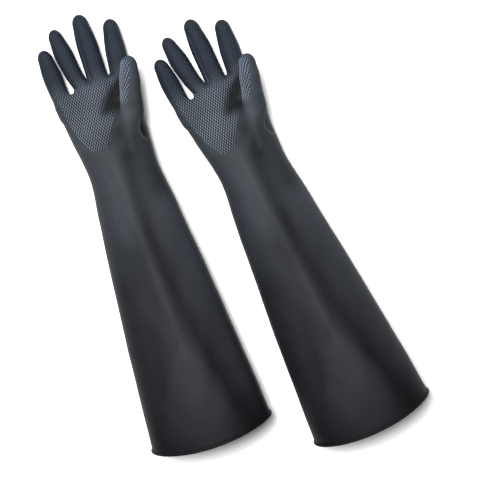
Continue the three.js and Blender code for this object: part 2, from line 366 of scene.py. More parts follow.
def thumb_local(x, y, z):
    """Distance along the thumb, across it, above its middle line, half width, half height."""
    s_table, (cx, cy, cz, wide, high), dx, dy = THUMB_LINE
    s = np.interp(y, cy, s_table)
    for _ in range(4):
        px, py = np.interp(s, s_table, cx), np.interp(s, s_table, cy)
        hx, hy = np.interp(s, s_table, dx), np.interp(s, s_table, dy)
        s = s + (x - px) * hx + (y - py) * hy
    inside = np.clip(s, 0, s_table[-1])
    px, py = np.interp(inside, s_table, cx), np.interp(inside, s_table, cy)
    hx, hy = np.interp(inside, s_table, dx), np.interp(inside, s_table, dy)
    u = (x - px) * hy - (y - py) * hx
    w = z - np.interp(inside, s_table, cz)
    return s, u, w, np.interp(inside, s_table, wide) / 2, np.interp(inside, s_table, high) / 2


def thumb_distance(x, y, z):
    s, u, w, half_u, half_w = thumb_local(x, y, z)
    end = THUMB_LINE[0][-1]
    tip = np.clip((s - (end - TIP_DOME)) / TIP_DOME, 0, 3) + np.clip(-s / THUMB_BASE, 0, 3)
    return oval_distance(u, w, half_u, half_w, DIGIT_OVAL, (tip, 1 / TIP_DOME))


def hand_distance(points):
    """Distance to the outside of the whole hand, negative inside it."""
    x, y, z = points[:, 0], points[:, 1], points[:, 2]
    palm = smooth_max(body_distance(x, y, z), y - web_end(x), WEB_SOFT)
    fingers = finger_distance("little", x, y, z)
    for key in ("ring", "middle", "index"):
        fingers = smooth_min(fingers, finger_distance(key, x, y, z), GAP_SOFT)
    d = smooth_min(palm, fingers, ROOT_SOFT)
    web = rise(y, *JOIN_RISE)
    d = smooth_min(d, thumb_distance(x, y, z), JOIN_SOFT - JOIN_LOSS * web)
    return smooth_max(d, -z + TABLE_GAP, TABLE_SOFT)


# -------- meshing
CELL = 0.9
LINING_CELL = 2.4
TRIM_SHARE, ON_JOIN = 0.45, 0.01
LEAST_SLOPE, MOST_MOVE = 0.05, 1.5
def surface_net(low, high, cell, distance):
    """Quads where a field crosses zero, one vertex for each cell that it passes through."""
    counts = [int(math.ceil((b - a) / cell)) + 1 for a, b in zip(low, high)]
    axes = [a + cell * np.arange(n) for a, n in zip(low, counts)]
    field = np.empty(counts, np.float32)
    gy, gz = np.meshgrid(axes[1], axes[2], indexing="ij")
    for i, x in enumerate(axes[0]):
        points = np.column_stack([np.full(gy.size, x), gy.ravel(), gz.ravel()])
        field[i] = distance(points).reshape(gy.shape)
    inside = field < 0
    corners = [(i, j, k) for i in (0, 1) for j in (0, 1) for k in (0, 1)]

    def shifted(grid, d):
        return grid[d[0]:counts[0] - 1 + d[0], d[1]:counts[1] - 1 + d[1], d[2]:counts[2] - 1 + d[2]]

    total = sum(shifted(inside, d).astype(np.int8) for d in corners)
    active = (total > 0) & (total < 8)
    cells = np.argwhere(active)
    index = np.full(active.shape, -1, np.int64)
    index[tuple(cells.T)] = np.arange(len(cells))
    sums, hits = np.zeros((len(cells), 3)), np.zeros(len(cells))
    for a in corners:
        for axis in range(3):
            if a[axis]:
                continue
            b = tuple(v + (1 if k == axis else 0) for k, v in enumerate(a))
            fa = field[tuple((cells + a).T)]
            fb = field[tuple((cells + b).T)]
            cross = (fa < 0) != (fb < 0)
            t = np.where(cross, fa / np.where(cross, fa - fb, 1), 0)
            p = cells + np.array(a, float)
            p[:, axis] += t
            sums += p * cross[:, None]
            hits += cross
    vertices = np.array(low) + cell * sums / hits[:, None]
    quads = []
    for axis in range(3):
        u, v = (axis + 1) % 3, (axis + 2) % 3
        lo = [slice(None)] * 3
        hi = [slice(None)] * 3
        lo[axis], hi[axis] = slice(0, counts[axis] - 1), slice(1, counts[axis])
        a, b = inside[tuple(lo)], inside[tuple(hi)]
        for flip, change in ((False, a & ~b), (True, ~a & b)):
            at = np.argwhere(change)
            keep = (at[:, u] > 0) & (at[:, v] > 0)
            keep &= (at[:, u] < counts[u] - 1) & (at[:, v] < counts[v] - 1)
            at = at[keep]
            ring = []
            for du, dv in ((-1, -1), (0, -1), (0, 0), (-1, 0)):
                c = at.copy()
                c[:, u] += du
                c[:, v] += dv
                ring.append(index[tuple(c.T)])
            ring = np.column_stack(ring)
            quads.append(ring[:, ::-1] if flip else ring)
    return vertices, np.vstack(quads)


def gradient(points, distance, step=0.35):
    g = np.empty_like(points)
    for axis in range(3):
        d = np.zeros(3)
        d[axis] = step
        g[:, axis] = (distance(points + d) - distance(points - d)) / (2 * step)
    return g


def unit(vectors):
    return vectors / np.maximum(np.linalg.norm(vectors, axis=1), 1e-12)[:, None]


def step_to(points, g, distance, level):
    """One short step of points along the slope g toward a level surface."""
    move = (distance(points) - level) / np.maximum((g * g).sum(1), LEAST_SLOPE)
    return points - g * np.clip(move, -MOST_MOVE, MOST_MOVE)[:, None]


def settle(points, distance, level=0.0, rounds=3):
    """Moves points onto the level surface of a field. Returns them with their normals."""
    for _ in range(rounds):
        points = step_to(points, gradient(points, distance), distance, level)
    return points, unit(gradient(points, distance))


def refine(vertices, faces, chosen):
    """Splits the chosen quads in four and gives their neighbours the new edge points."""
    edges = np.stack([faces, np.roll(faces, -1, 1)], 2)
    key = np.sort(edges, 2)
    code = key[..., 0] * (len(vertices) + 1) + key[..., 1]
    wanted = np.unique(code[chosen].ravel())
    a, b = wanted // (len(vertices) + 1), wanted % (len(vertices) + 1)
    middles = (vertices[a] + vertices[b]) / 2
    where = np.searchsorted(wanted, code)
    where = np.where(where < len(wanted), where, 0)
    found = wanted[where] == code
    mid_index = np.where(found, where + len(vertices), -1)
    quads = faces[chosen]
    centres = vertices[quads].mean(1)
    first = len(vertices) + len(middles)
    centre = first + np.arange(len(quads))
    m = mid_index[chosen]
    small = [np.column_stack([quads[:, i], m[:, i], centre, m[:, i - 1]]) for i in range(4)]
    polygons = [list(f) for f in np.vstack(small)]
    rest = np.flatnonzero(~chosen)
    touched = found[rest].any(1)
    plain = faces[rest[~touched]]
    polygons += [list(f) for f in plain]
    for f in rest[touched]:
        ring = []
        for i in range(4):
            ring.append(int(faces[f, i]))
            if mid_index[f, i] >= 0:
                ring.append(int(mid_index[f, i]))
        polygons.append(ring)
    return np.vstack([vertices, middles, centres]), polygons


# -------- grip net
NET_PITCH, NET_RISE, KNOT_RISE, NET_DEPTH = 3.6, 0.3, 0.25, 0.8
NET_ANGLE = 60.0
# Half width of a line, of a pit's slope and of a knot, as shares of half a pitch.
LINE_HALF, PIT_SLOPE, KNOT_HALF = 0.12, 0.3, 0.5
# On the palm it opens from a blunt point at the heel, and its sides spread, then turn.
NET_START, NET_END, NET_HEEL, NET_BLUNT = 418.0, 495.0, -17.5, 3.0
NET_LEFT, NET_LEFT_TURN, NET_RIGHT, NET_RIGHT_TURN = 36.0, 7.0, 37.0, 26.0
NET_FOOT, NET_TOP, NET_EDGE, OFF_NET = 419.0, 507.0, 1.6, -9.0
# It weakens from the knuckles on, and ends where the skin turns away from upward.
NET_FULL, NET_FADE, NET_LEAST = 500.0, 30.0, 0.5
NET_TILT, NET_TILT_SPAN = 0.2, 0.3
# A finger's pad: sides as shares of the half width, end from the tip, start before the first
# flex line, and the share of the half width that still is the finger.
PAD_LEFT, PAD_RIGHT, PAD_END, PAD_START, PAD_REACH = 0.42, 0.72, 5.5, 16.0, 1.02
# The thumb's pad: start, end from the tip, fade, right side, which draws in toward the base,
# and how far down it goes as a share of the half height.
THUMB_PAD, THUMB_END, THUMB_FADE = 56.0, 5.0, 14.0
THUMB_SIDE, DRAW_IN, DRAW_START, DRAW_SPAN, THUMB_DOWN = 1.0, 5.5, 62.0, 36.0, 0.75
THUMB_SKIN = 1.5  # how near the thumb's surface a point counts as its skin
LEAST_GRIP = 0.001


def net_waves(x, y):
    """How far each point is from the net's two families of lines: 0 on a line, 1 midway."""
    c, s = cos_sin(NET_ANGLE)
    spacing = NET_PITCH * s
    waves = []
    for sign in (1, -1):
        phase = (x * s - sign * y * c) / spacing
        waves.append(np.abs(phase - np.round(phase)) * 2)
    return waves


def pits_and_knots(x, y):
    """How deep in a pit each point is, and how near a crossing of the net's lines."""
    waves = net_waves(x, y)
    pit = rise(np.minimum(*waves), LINE_HALF, PIT_SLOPE)
    knot = clamp(1 - np.hypot(*waves) / KNOT_HALF)
    return ease(pit), knot


def soft_step(value, width):
    """0 to 1 as a value passes zero, over the width given."""
    return ease(clamp(value / width + 0.5))


def grip_mask(points, normals):
    """How much grip net there is at each point: on palm and fingers, and on the thumb."""
    x, y, z = points.T
    up = rise(y, NET_START, NET_END - NET_START)
    left = NET_HEEL - NET_BLUNT - NET_LEFT * np.sqrt(up) + NET_LEFT_TURN * up ** 6
    right = NET_HEEL + NET_BLUNT + NET_RIGHT * np.sqrt(up) + NET_RIGHT_TURN * up ** 8
    best = np.minimum(np.minimum(x - left, right - x), y - NET_FOOT)
    best = np.where(y > NET_TOP, OFF_NET, best)
    for key in FINGERS:
        length, cuts = finger_frame(key)[2], finger_cuts(key)
        s, u, w, half_u, _ = finger_local(key, x, y, z)
        edge = np.minimum(u + half_u * PAD_LEFT, half_u * PAD_RIGHT - u)
        edge = np.minimum(edge, length - PAD_END - s)
        inside = (s > cuts[0] - PAD_START) & (np.abs(u) < half_u * PAD_REACH) & (w > 0)
        best = np.maximum(best, np.where(inside, edge, OFF_NET))
    weaker = np.clip(1 - (y - NET_FULL) / NET_FADE, NET_LEAST, 1)
    strength = np.where(y < NET_FULL, 1.0, weaker)
    flat = strength * soft_step(best, NET_EDGE) * soft_step(normals[:, 2] - NET_TILT, NET_TILT_SPAN)
    s, u, w, _, half_w = thumb_local(x, y, z)
    end = THUMB_LINE[0][-1]
    side = THUMB_SIDE - DRAW_IN * clamp(1 - (s - DRAW_START) / DRAW_SPAN)
    pad = np.minimum(np.minimum(s - THUMB_PAD, end - THUMB_END - s), side - u)
    skin = np.abs(thumb_distance(x, y, z)) < THUMB_SKIN
    pad = np.where(skin & (w > -half_w * THUMB_DOWN), pad, OFF_NET)
    return flat, soft_step(pad, NET_EDGE) * rise(s, THUMB_PAD, THUMB_FADE)


def net_on_hand(points, normals):
    """The pits, knots and extent of the grip net over the whole hand."""
    x, y, z = points.T
    flat, thumb = grip_mask(points, normals)
    pit, knot = pits_and_knots(x, y)
    s, u, w, half_u, half_w = thumb_local(x, y, z)
    arc = np.arctan2(w / half_w, u / half_u) * (half_u + half_w) / 2
    thumb_pit, thumb_knot = pits_and_knots(arc, s)
    pit = np.maximum(pit * flat * (1 - thumb), thumb_pit * thumb)
    knot = np.maximum(knot * flat * (1 - thumb), thumb_knot * thumb)
    return pit, knot, np.maximum(flat * (1 - thumb), thumb)


# Painted light and shade, partly dust, in strokes on the upper side: strength, half width, first and last
# y, line. The last two are painted highlights on the crest and the crease.
STROKES_OF_LIGHT_SHADE_AND_DUST = (
    (-0.54, 15.0, (10, 425), lambda y: line_x(y, VALLEY) - 4),
    (0.5, 15.0, (20, 325), lambda y: curve(BODY, 2, y) - 9),
    (-0.15, 14.0, (350, 400), lambda y: 39),
    (0.36, 15.0, (300, 390), lambda y: -20),
    (0.22, 5.0, (130, 253), lambda y: line_x(y, RIDGE) - 4),
    (-0.3, 20.0, (80, 300), lambda y: line_x(y, ((80, -30), (300, -6)))),
    (-0.3, 16.0, (20, 240), lambda y: curve(BODY, 1, y) + 13),
    (-0.3, 26.0, (412, 430), lambda y: 5),
    (0.28, 4.0, (408, 450), lambda y: line_x(y, ((408, 22.5), (450, 29.5)))),
    (1.1, 0.8, (414, 445), lambda y: crease_x(y) - 1.1),
)
# Painted highlights and painted shade in streaks along a finger: strength, half width, first and last y,
# finger, and how far across the finger they lie as a share of its half width.
PAINTED_FINGER_STREAKS = (
    (0.9, 1.3, (514, 580), "middle", -0.66),
    (-0.35, 1.8, (514, 580), "middle", -0.4),
    (0.5, 1.3, (530, 572), "index", -0.78),
)
# Painted sheen with some dust on the flat near the hem, a triangle with its point up the sleeve.
FACET_POINT_Y, FACET_LEFT, FACET_POINT_X = 150.0, -58.0, 4.0
FACET_RIGHT, FACET_RIGHT_Y, FACET_RIGHT_SPAN = 40.0, 55.0, 75.0
FACET_CURL, FACET_SHEEN, FACET_EDGE = 1.8, 0.3, 12.0
FACET_FOOT, FACET_TOP = (6.0, 14.0), (158.0, 20.0)

FINGER_MIDDLE, FINGER_HALF = 15.5, 13.0
LINING_TONE, BEAD_TONE = 1.7, 0.65


def streak(across, width, y, ends):
    """A soft line that fades over 1.5 half widths past its ends."""
    fade = 1.5 * width
    along = clamp(1 + (y - ends[0]) / fade) * clamp(1 + (ends[1] - y) / fade)
    return np.exp(-(across / width) ** 2) * along


def facet_painted_sheen(x, y):
    """How much painted sheen and dust make the flat near the hem paler."""
    up = clamp(y / FACET_POINT_Y) ** FACET_CURL
    left = FACET_LEFT + (FACET_POINT_X - FACET_LEFT) * up
    right = FACET_RIGHT * np.exp(-((y - FACET_RIGHT_Y) / FACET_RIGHT_SPAN) ** 2)
    ends = rise(y, *FACET_FOOT) * fall(y, *FACET_TOP)
    return FACET_SHEEN * soft_step(x - left, FACET_EDGE) * soft_step(right - x, FACET_EDGE) * ends


def painted_light_shade_and_dust(x, y):
    """The upper side's painted light and shade, partly dust, from flat, strokes and streaks: 1 where there
    are none.
    """
    # painted sheen and dust on the flat near the hem
    tone = 1 + facet_painted_sheen(x, y)
    # painted light and shade, partly dust, in strokes
    for strength, width, ends, line in STROKES_OF_LIGHT_SHADE_AND_DUST:
        tone = tone + strength * streak(x - line(y), width, y, ends)
    # painted highlights and painted shade along the fingers
    for strength, width, ends, key, share in PAINTED_FINGER_STREAKS:
        _, u, _, half_u, _ = finger_local(key, x, y, FINGER_MIDDLE)
        tone = tone + strength * streak(u - share * half_u, width, y, ends)
    return tone


# Painted shade in the hollow beside the thumb: its edge starts here and curls toward the index.
HOLLOW_Y, HOLLOW_X, HOLLOW_CURL = 455.0, -4.0, 0.015
HOLLOW_EDGE, HOLLOW_FOOT, HOLLOW_TOP, HOLLOW_FADE, HOLLOW_SHADE = 17.0, 462.0, 518.0, 14.0, 0.84
# Painted light and wear on the palm, and a painted highlight on the thumb's base: strength, centre (x, y),
# half sizes.
PALM_LIGHT_AND_WEAR = ((0.4, (-14, 452), (26, 32)), (0.3, (2, 496), (30, 12)))
THUMB_BASE_HIGHLIGHT, HIGHLIGHT_RISE = (0.6, (31, 464), (6.5, 11)), (38.0, 8.0)
# The fingers are darker, and painted shade darkens all that lies below the middle of its own height.
FINGER_SHADE, SHADE_RISE, PALM_END = 0.42, (506.0, 18.0), 500.0
UNDERSIDE_SHADE, UPPER_START, UPPER_SPAN = 0.5, 0.1, 0.4
# The thumb's own tone, with painted light on its palm side.
THUMB_TONE, THUMB_LIT_SIDE, THUMB_TURN, THUMB_RISE = 1.08, 0.5, 0.7, (34.0, 40.0)


def hollow_edge(y):
    return HOLLOW_X + HOLLOW_CURL * np.maximum(y - HOLLOW_Y, 0) ** 2


def hand_painted_light_and_tone(x, y, z):
    """Where the rubber is greyer or darker than its average over the hand, mostly painted light and shade,
    with some wear and dust.
    """
    tone = 1.0
    # painted light and wear on the palm
    for strength, at, size in PALM_LIGHT_AND_WEAR:
        tone = tone + strength * bump(x, y, at, size)
    # painted shade in the hollow beside the thumb
    hollow = soft_step(x - hollow_edge(y), HOLLOW_EDGE) * soft_step(y - HOLLOW_FOOT, HOLLOW_FADE)
    hollow = hollow * fall(y, HOLLOW_TOP, HOLLOW_FADE)
    tone = tone * (1 - HOLLOW_SHADE * hollow)
    tone = tone * (1 - FINGER_SHADE * rise(y, *SHADE_RISE))
    under, top = body_section(y)[2:4]
    middle = np.where(y < PALM_END, (under + top) / 2, FINGER_MIDDLE)
    half = np.where(y < PALM_END, (top - under) / 2, FINGER_HALF)
    height = (z - middle) / half
    upper = rise(height, UPPER_START, UPPER_SPAN)
    # painted shade on all below the middle of the height
    tone = tone * (UNDERSIDE_SHADE + (1 - UNDERSIDE_SHADE) * rise(height, 0, UPPER_SPAN))
    # painted light and shade, partly dust, on the upper side
    tone = tone * (1 + upper * (painted_light_shade_and_dust(x, y) - 1))
    # painted shade behind the crease
    tone = tone * (1 - CREASE_SHADE * behind_crease(x, y))
    s, u, _, half_u, _ = thumb_local(x, y, z)
    near = clamp(THUMB_SKIN - np.abs(thumb_distance(x, y, z)))
    near = rise(s, *THUMB_RISE) * near
    side = clamp(0.5 - u / half_u * THUMB_TURN)
    # painted light on the thumb's palm side
    tone = tone * (1 - near) + near * (THUMB_TONE + THUMB_LIT_SIDE * side)
    # painted highlight on the thumb's base
    strength, at, size = THUMB_BASE_HIGHLIGHT
    return tone + strength * bump(x, y, at, size) * rise(z, *HIGHLIGHT_RISE)


# -------- one hand, both skins
# How far the palm starts past the wrist line, a digit's pieces reach beside and above its middle
# line, and its pieces start past its first flex line and before its second.
PALM_PAST, BESIDE, ABOVE = 38.0, 3.0, 13.0
ROOT_PAST, FINGER_BEFORE, THUMB_BEFORE = 0.3, 11.0, 9.0
FLEX_HEIGHT, FINGER_HEIGHT, THUMB_HEIGHT = 40.0, 22.0, 50.0


def region_of(points):
    """Which piece each point belongs to: 0 wrist, 1 palm, then two for each digit."""
    x, y, z = points.T
    label = np.where(y < WRIST_Y + PALM_PAST, 0, 1)
    nearest = np.argmin([finger_distance(key, x, y, z) for key in FINGERS], 0)
    for number, key in enumerate(FINGERS):
        cuts = finger_cuts(key)
        s, u, w, half_u, _ = finger_local(key, x, y, z)
        near = (np.abs(u) < half_u + BESIDE) & (w < ABOVE) & (nearest == number)
        label = np.where(near & (s > cuts[0] + ROOT_PAST), 2 + 2 * number, label)
        label = np.where(near & (s > cuts[1] - FINGER_BEFORE), 3 + 2 * number, label)
    s, u, w, half_u, half_w = thumb_local(x, y, z)
    cuts = thumb_cuts()
    near = (np.abs(u) < half_u + BESIDE) & (np.abs(w) < half_w + BESIDE)
    label = np.where(near & (s > cuts[0] + ROOT_PAST), 2 + 2 * len(FINGERS), label)
    return np.where(near & (s > cuts[1] - THUMB_BEFORE), 3 + 2 * len(FINGERS), label)


def thumb_cuts():
    """The thumb's two flex lines as distances along it."""
    x, y = np.array(THUMB_CUTS).T
    return thumb_local(x, y, np.full(len(x), THUMB_HEIGHT))[0].tolist()


def vertex_normals(vertices, polygons):
    """Smooth normals of a mesh of mixed polygons."""
    normals = np.zeros_like(vertices)
    by_size = {}
    for p in polygons:
        by_size.setdefault(len(p), []).append(p)
    for group in by_size.values():
        f = np.array(group)
        diagonal_a = vertices[f[:, f.shape[1] // 2]] - vertices[f[:, 0]]
        diagonal_b = vertices[f[:, -1]] - vertices[f[:, 1]]
        n = np.cross(diagonal_a, diagonal_b)
        for i in range(f.shape[1]):
            np.add.at(normals, f[:, i], n)
    return unit(normals)


def trim_to_join(vertices, faces, level):
    """Drops what lies below the join with the sleeve and brings the edge exactly onto it."""
    keep = (vertices[faces][:, :, 1] > JOIN_Y - TRIM_SHARE * CELL).all(1)
    faces = faces[keep]
    edges = np.sort(np.stack([faces, np.roll(faces, -1, 1)], 2).reshape(-1, 2), 1)
    unique, count = np.unique(edges, axis=0, return_counts=True)
    border = np.unique(unique[count == 1])
    vertices = vertices.copy()
    vertices[border, 1] = JOIN_Y
    vertices[border] = ring_settle(vertices[border], level)
    return vertices, faces


# The box that the hand is meshed in, and how far it reaches below the join.
BOX_LEFT, BOX_UNDER, BOX_HIGH = -68.0, -1.0, (72.0, 604.0, 72.0)
HAND_BELOW, LINING_BELOW = 2.5, 5.5


def make_hand():
    """The outside of the hand with its net: vertices, polygons, normals and point values."""
    low = (BOX_LEFT, JOIN_Y - HAND_BELOW, BOX_UNDER)
    vertices, faces = surface_net(low, BOX_HIGH, CELL, hand_distance)
    vertices, normals = settle(vertices, hand_distance)
    vertices, faces = trim_to_join(vertices, faces, 0.0)
    flat, thumb = grip_mask(vertices, normals)
    gripping = np.maximum(flat, thumb) > 0
    vertices, polygons = refine(vertices, faces, gripping[faces].any(1))
    fresh = vertices[len(normals):]
    moved, _ = settle(fresh, hand_distance, rounds=2)
    at_join = fresh[:, 1] <= JOIN_Y + ON_JOIN
    moved[at_join] = fresh[at_join]
    vertices[len(normals):] = moved
    normals = unit(gradient(vertices, hand_distance))
    pits, knots, grip = net_on_hand(vertices, normals)
    # painted light and shade over the hand
    tone = hand_painted_light_and_tone(*vertices.T)
    height = NET_RISE * grip + KNOT_RISE * knots - NET_DEPTH * pits
    vertices = vertices + normals * height[:, None]
    netted = (grip > LEAST_GRIP)[:, None]
    smooth = unit(gradient(vertices, hand_distance))
    normals = np.where(netted, vertex_normals(vertices, polygons), smooth)
    return vertices, polygons, normals, {"pit": pits, "knot": knots, "grip": grip, "tone": tone}


def make_lining():
    """The inside of the hand, one wall in from the outside, without point values."""
    low = (BOX_LEFT, JOIN_Y - LINING_BELOW, BOX_UNDER)

    def inner(points):
        return hand_distance(points) + WALL

    vertices, faces = surface_net(low, BOX_HIGH, LINING_CELL, inner)
    vertices, _ = settle(vertices, hand_distance, level=-WALL)
    vertices, faces = trim_to_join(vertices, faces, -WALL)
    return vertices, faces[:, ::-1], -unit(gradient(vertices, hand_distance)), {}


# -------- sleeve and bead
AROUND = 300
SLEEVE_STEP = 2.5
# Slight waves: length across, length along, how they turn with height. Then how they vary.
WAVES = ((62, 190, 0.3), (48, 120, -0.5), (34, 85, 0.9), (26, 60, -1.3))
WAVE_DEPTH, WAVE_TURN, WAVE_HEIGHT, SEED_SHIFT, WAVE_SHIFT, ALONG_SHIFT = 0.35, 6.28, 20.0, 1.7, 2.1, 1.3
WAVES_FOOT, WAVES_TOP, WAVES_UP = (14.0, 60.0), (388.0, 70.0), (4.0, 20.0)
SETTLE_Y = 392.0
BEAD_INSET, BEAD_SIDES = 0.4, 20


def compact(vertices, polygons, *values):
    """Drops vertices that no polygon uses."""
    used = np.zeros(len(vertices), bool)
    used[np.concatenate([np.asarray(p).ravel() for p in polygons])] = True
    fresh = np.cumsum(used) - 1
    polygons = [[int(fresh[i]) for i in p] for p in polygons]
    return (vertices[used], polygons, *[v[used] for v in values])


def ring_settle(points, level):
    """Moves points onto the field's surface without leaving their own section."""
    for _ in range(3):
        g = gradient(points, hand_distance)
        g[:, 1] = 0
        points = step_to(points, g, hand_distance, level)
    return points


def full_turn(count):
    return np.linspace(0, 2 * math.pi, count, endpoint=False)


def softness(x, y, z, seed):
    """The slight dents and waves of a thin rubber sleeve, in mm, none near its two ends."""
    total = 0.0
    for i, (across, along, turn) in enumerate(WAVES):
        phase = seed * SEED_SHIFT + i * WAVE_SHIFT
        wave = np.sin(x / across * WAVE_TURN + phase + turn * z / WAVE_HEIGHT)
        total = total + wave * np.sin(y / along * WAVE_TURN + phase * ALONG_SHIFT) / (i + 1)
    fade = rise(y, *WAVES_FOOT) * fall(y, *WAVES_TOP)
    return WAVE_DEPTH * total * fade


def oval(turn, power, half_u, half_w):
    """Points of a squared oval at the angles given, across and up from its middle."""
    sides = (np.cos(turn), half_u), (np.sin(turn), half_w)
    return [np.sign(c) * np.abs(c) ** (2 / power) * half for c, half in sides]


def bowed(points, left, right):
    """Draws the hem's two sides back from its middle, most at the very edge."""
    across = (2 * points[..., 0] - left - right) / (right - left)
    fade = ease(clamp(1 - points[..., 1] / BOW_FADE))
    points[..., 1] += HEM_BOW * clamp(across * across) * fade
    return points


def make_sleeve(y_from, y_to, inset, seed):
    """A tube from the opening to the hand, set in by `inset`, as vertices and quads."""
    count = int(math.ceil((y_to - y_from) / SLEEVE_STEP)) + 1
    ys = np.linspace(y_from, y_to, count)
    turn = full_turn(AROUND)
    y, a = np.meshgrid(ys, turn, indexing="ij")
    left, right, under, top, power = [v.reshape(count, 1) for v in body_section(ys)]
    u, w = oval(a, power, (right - left) / 2 - inset, (top - under) / 2 - inset)
    x, z = (left + right) / 2 + u, (under + top) / 2 + w
    wave = softness(x, y, z, seed) * rise(z, *WAVES_UP)
    wave = wave - fold_depth(x, y) * upper_side(z, (under + top) / 2)
    size = np.hypot(u, w)
    x, z = x + wave * u / size, z + wave * w / size
    points = bowed(np.stack([x, y, z], 2), left, right).reshape(-1, 3)
    high = points[:, 1] > SETTLE_Y
    if high.any():
        points[high] = ring_settle(points[high], -inset)
    i = np.arange(count - 1)[:, None] * AROUND
    j = np.arange(AROUND)[None, :]
    k = (j + 1) % AROUND
    quads = np.stack([i + j, i + AROUND + j, i + AROUND + k, i + k], 2).reshape(-1, 4)
    return points, quads if inset == 0 else quads[:, ::-1]


def make_bead():
    """The rolled edge at the opening: a round cord of rubber following the opening's outline."""
    turn = full_turn(AROUND)
    left, right, under, top, power = [float(v) for v in body_section(np.array(BEAD_R))]
    u, w = oval(turn, power, (right - left) / 2 - BEAD_INSET, (top - under) / 2 - BEAD_INSET)
    centre = np.column_stack([(left + right) / 2 + u, np.full(AROUND, BEAD_R), (under + top) / 2 + w])
    centre = bowed(centre, left, right)
    tangent = unit(np.roll(centre, -1, 0) - np.roll(centre, 1, 0))
    along = np.array([0.0, 1.0, 0.0])
    outward = np.cross(along, tangent)
    outward *= np.sign((outward * (centre - centre.mean(0))).sum(1))[:, None]
    spin = full_turn(BEAD_SIDES)
    points = centre[:, None] + BEAD_R * (
        outward[:, None] * np.cos(spin)[None, :, None] + along * np.sin(spin)[None, :, None]
    )
    i, s = np.arange(AROUND)[:, None] * BEAD_SIDES, np.arange(BEAD_SIDES)[None, :]
    i2, s2 = (i + BEAD_SIDES) % (AROUND * BEAD_SIDES), (s + 1) % BEAD_SIDES
    quads = np.stack([i + s, i + s2, i2 + s2, i2 + s], 2)
    return points.reshape(-1, 3), quads.reshape(-1, 4)


# -------- pieces
# tone carries painted light and shade, with some wear and dust
POINT_VALUES = {"pit": 0.0, "knot": 0.0, "grip": 0.0, "tone": 1.0}


def to_world(points, place):
    """Points of a glove in the frame's coordinates, in metres."""
    x, y, turn = place
    c, s = cos_sin(turn)
    out = np.empty_like(points)
    out[:, 0] = (x + points[:, 0] * c - points[:, 1] * s) * MM
    out[:, 1] = (y + points[:, 0] * s + points[:, 1] * c) * MM
    out[:, 2] = points[:, 2] * MM
    return out


def add_piece(name, vertices, polygons, normals, place, values, material):
    """A mesh object in the frame's coordinates, with its own smooth normals and point values."""
    sizes = np.array([len(p) for p in polygons])
    corners = np.concatenate([np.asarray(p) for p in polygons])
    mesh = bpy.data.meshes.new(name)
    mesh.vertices.add(len(vertices))
    mesh.vertices.foreach_set("co", to_world(vertices, place).ravel())
    mesh.loops.add(len(corners))
    mesh.loops.foreach_set("vertex_index", corners.astype(np.int32))
    mesh.polygons.add(len(sizes))
    starts = np.concatenate([[0], np.cumsum(sizes)[:-1]])
    mesh.polygons.foreach_set("loop_start", starts.astype(np.int32))
    mesh.polygons.foreach_set("use_smooth", np.ones(len(sizes), bool))
    mesh.update(calc_edges=True)
    mesh.validate()
    turned = to_world(normals / MM, (0, 0, place[2]))
    mesh.normals_split_custom_set_from_vertices(turned)
    for key, data in values.items():
        attribute = mesh.attributes.new(key, "FLOAT", "POINT")
        attribute.data.foreach_set("value", np.asarray(data, np.float32))
    mesh.materials.append(material)
    return into_scene(bpy.data.objects.new(name, mesh))


def hand_parts(vertices, polygons):
    """Polygon lists of each region of the hand."""
    centres = np.array([vertices[p].mean(0) for p in polygons])
    labels = region_of(centres)
    regions = range(2 * len(FINGERS) + 4)
    return [[polygons[i] for i in np.flatnonzero(labels == number)] for number in regions]


def gather(skins, place, name, material):
    """One object from several skins, each (vertices, polygons, normals, point values)."""
    parts, polygons, first = [], [], 0
    for vertices, faces, normals, values in skins:
        columns = [values.get(key, np.full(len(vertices), rest)) for key, rest in POINT_VALUES.items()]
        part = compact(vertices, faces, normals, *columns)
        parts.append((part[0], *part[2:]))
        polygons += [[i + first for i in q] for q in part[1]]
        first += len(part[0])
    v, n, *columns = [np.concatenate(column) for column in zip(*parts)]
    piece = add_piece(name, v, polygons, n, place, dict(zip(POINT_VALUES, columns)), material)
    at = piece.data.attributes.new("place", "FLOAT_VECTOR", "POINT")
    at.data.foreach_set("vector", (v * MM).astype(np.float32).ravel())
    return piece


def into_scene(thing):
    bpy.context.scene.collection.objects.link(thing)
    return thing


def world_point(place, x, y, z):
    return tuple(float(v) for v in to_world(np.array([[x, y, z]]), place)[0])


def digit_point(place, key, s):
    """A point s along a digit's middle line, at the height where it bends."""
    if key == "thumb":
        table, columns, *_ = THUMB_LINE
        x, y = (np.interp(s, table, column) for column in columns[:2])
        return world_point(place, x, y, THUMB_HEIGHT)
    root, out = finger_frame(key)[:2]
    return world_point(place, *(root + out * s), FINGER_HEIGHT)


SLEEVE_SPLIT = 262.0
# Half the length of the stretch around each flex line, at elbow and wrist and inside the digits.
ELBOW_BEND, WRIST_BEND = 70.0, 30.0
KNUCKLE_BEND, FINGER_BEND, THUMB_BEND = 18.0, 10.0, 8.0


